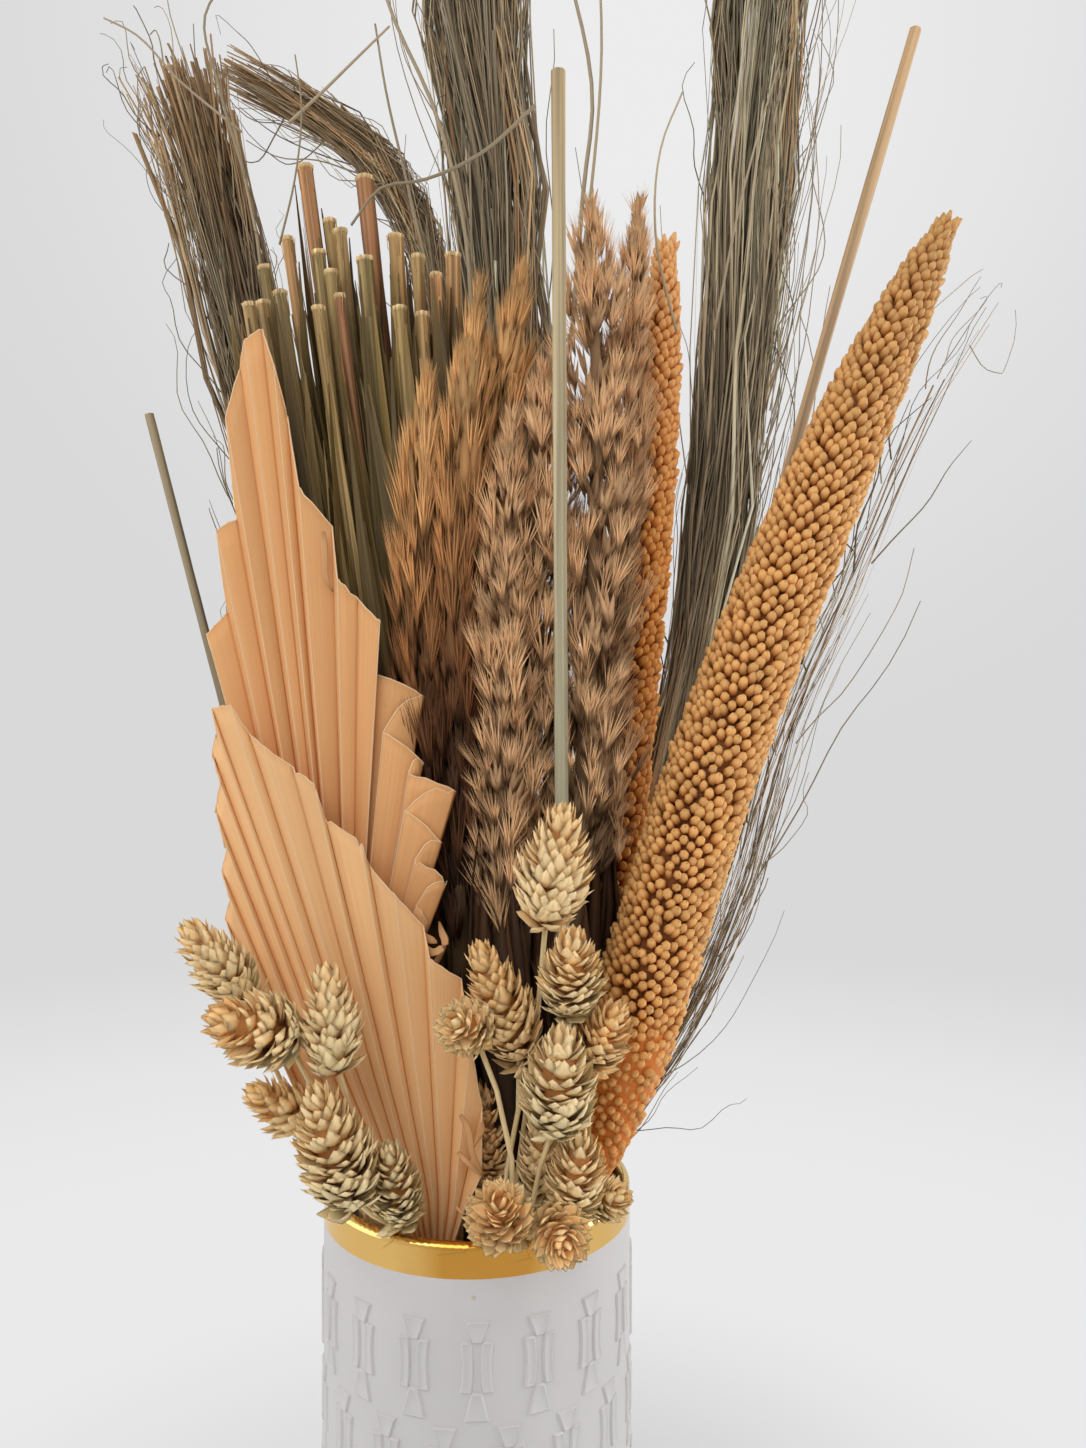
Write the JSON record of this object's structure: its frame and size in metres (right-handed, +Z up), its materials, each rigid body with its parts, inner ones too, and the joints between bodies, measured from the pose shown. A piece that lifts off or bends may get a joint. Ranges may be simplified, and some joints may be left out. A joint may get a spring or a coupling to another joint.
{
  "type": "vase of dried flowers",
  "caption": "Tall porcelain cylinder vase with a gold rim, holding dried palm spears, millet ears, canary grass, reed plumes, cut straws and broom grass.",
  "frame": {"origin": "centre of the vase's flat underside", "axes": "+Z up along the vase's axis, -Y towards the front of the bouquet, +X to the right seen from the front"},
  "size_m": [0.301, 0.115, 0.649],
  "materials": {
    "porcelain": "unglazed satin porcelain, with a polished gold band at the rim",
    "palm": "matte dried palm leaf",
    "millet": "satin dry grain",
    "canary_grass": "matte papery bracts",
    "plume_rust": "fine dry hair, rust brown",
    "plume_pink": "fine dry hair, pinkish brown",
    "straw": "satin dry straw",
    "stick": "satin peeled stick",
    "broom_grass": "matte dry fibres"
  },
  "bodies": {
    "root": {"vase": "porcelain", "palm_spear_front": "palm", "palm_spear_back": "palm", "millet_front": "millet", "millet_back": "millet", "canary_grass_1": "canary_grass", "canary_grass_2": "canary_grass", "canary_grass_3": "canary_grass", "canary_grass_4": "canary_grass", "canary_grass_5": "canary_grass", "canary_grass_6": "canary_grass", "canary_grass_7": "canary_grass", "canary_grass_8": "canary_grass", "canary_grass_9": "canary_grass", "canary_grass_10": "canary_grass", "canary_grass_11": "canary_grass", "canary_grass_12": "canary_grass", "canary_grass_13": "canary_grass", "canary_grass_14": "canary_grass", "canary_grass_15": "canary_grass", "canary_grass_16": "canary_grass", "canary_grass_17": "canary_grass", "canary_grass_18": "canary_grass", "plume_1": "plume_rust", "plume_2": "plume_rust", "plume_3": "plume_rust", "plume_4": "plume_pink", "plume_5": "plume_pink", "plume_6": "plume_pink", "plume_7": "plume_pink", "stick_left": "stick", "stick_middle": "stick", "stick_right": "stick", "straw_1": "straw", "straw_2": "straw", "straw_3": "straw", "straw_4": "straw", "straw_5": "straw", "straw_6": "straw", "straw_7": "straw", "straw_8": "straw", "straw_9": "straw", "straw_10": "straw", "straw_11": "straw", "straw_12": "straw", "straw_13": "straw", "straw_14": "straw", "straw_15": "straw", "straw_16": "straw", "straw_17": "straw", "straw_18": "straw", "straw_19": "straw", "straw_20": "straw", "broom_grass_left": "broom_grass", "broom_grass_bent": "broom_grass", "broom_grass_middle": "broom_grass", "broom_grass_right": "broom_grass", "broom_grass_trailing": "broom_grass"}
  },
  "joints": []
}
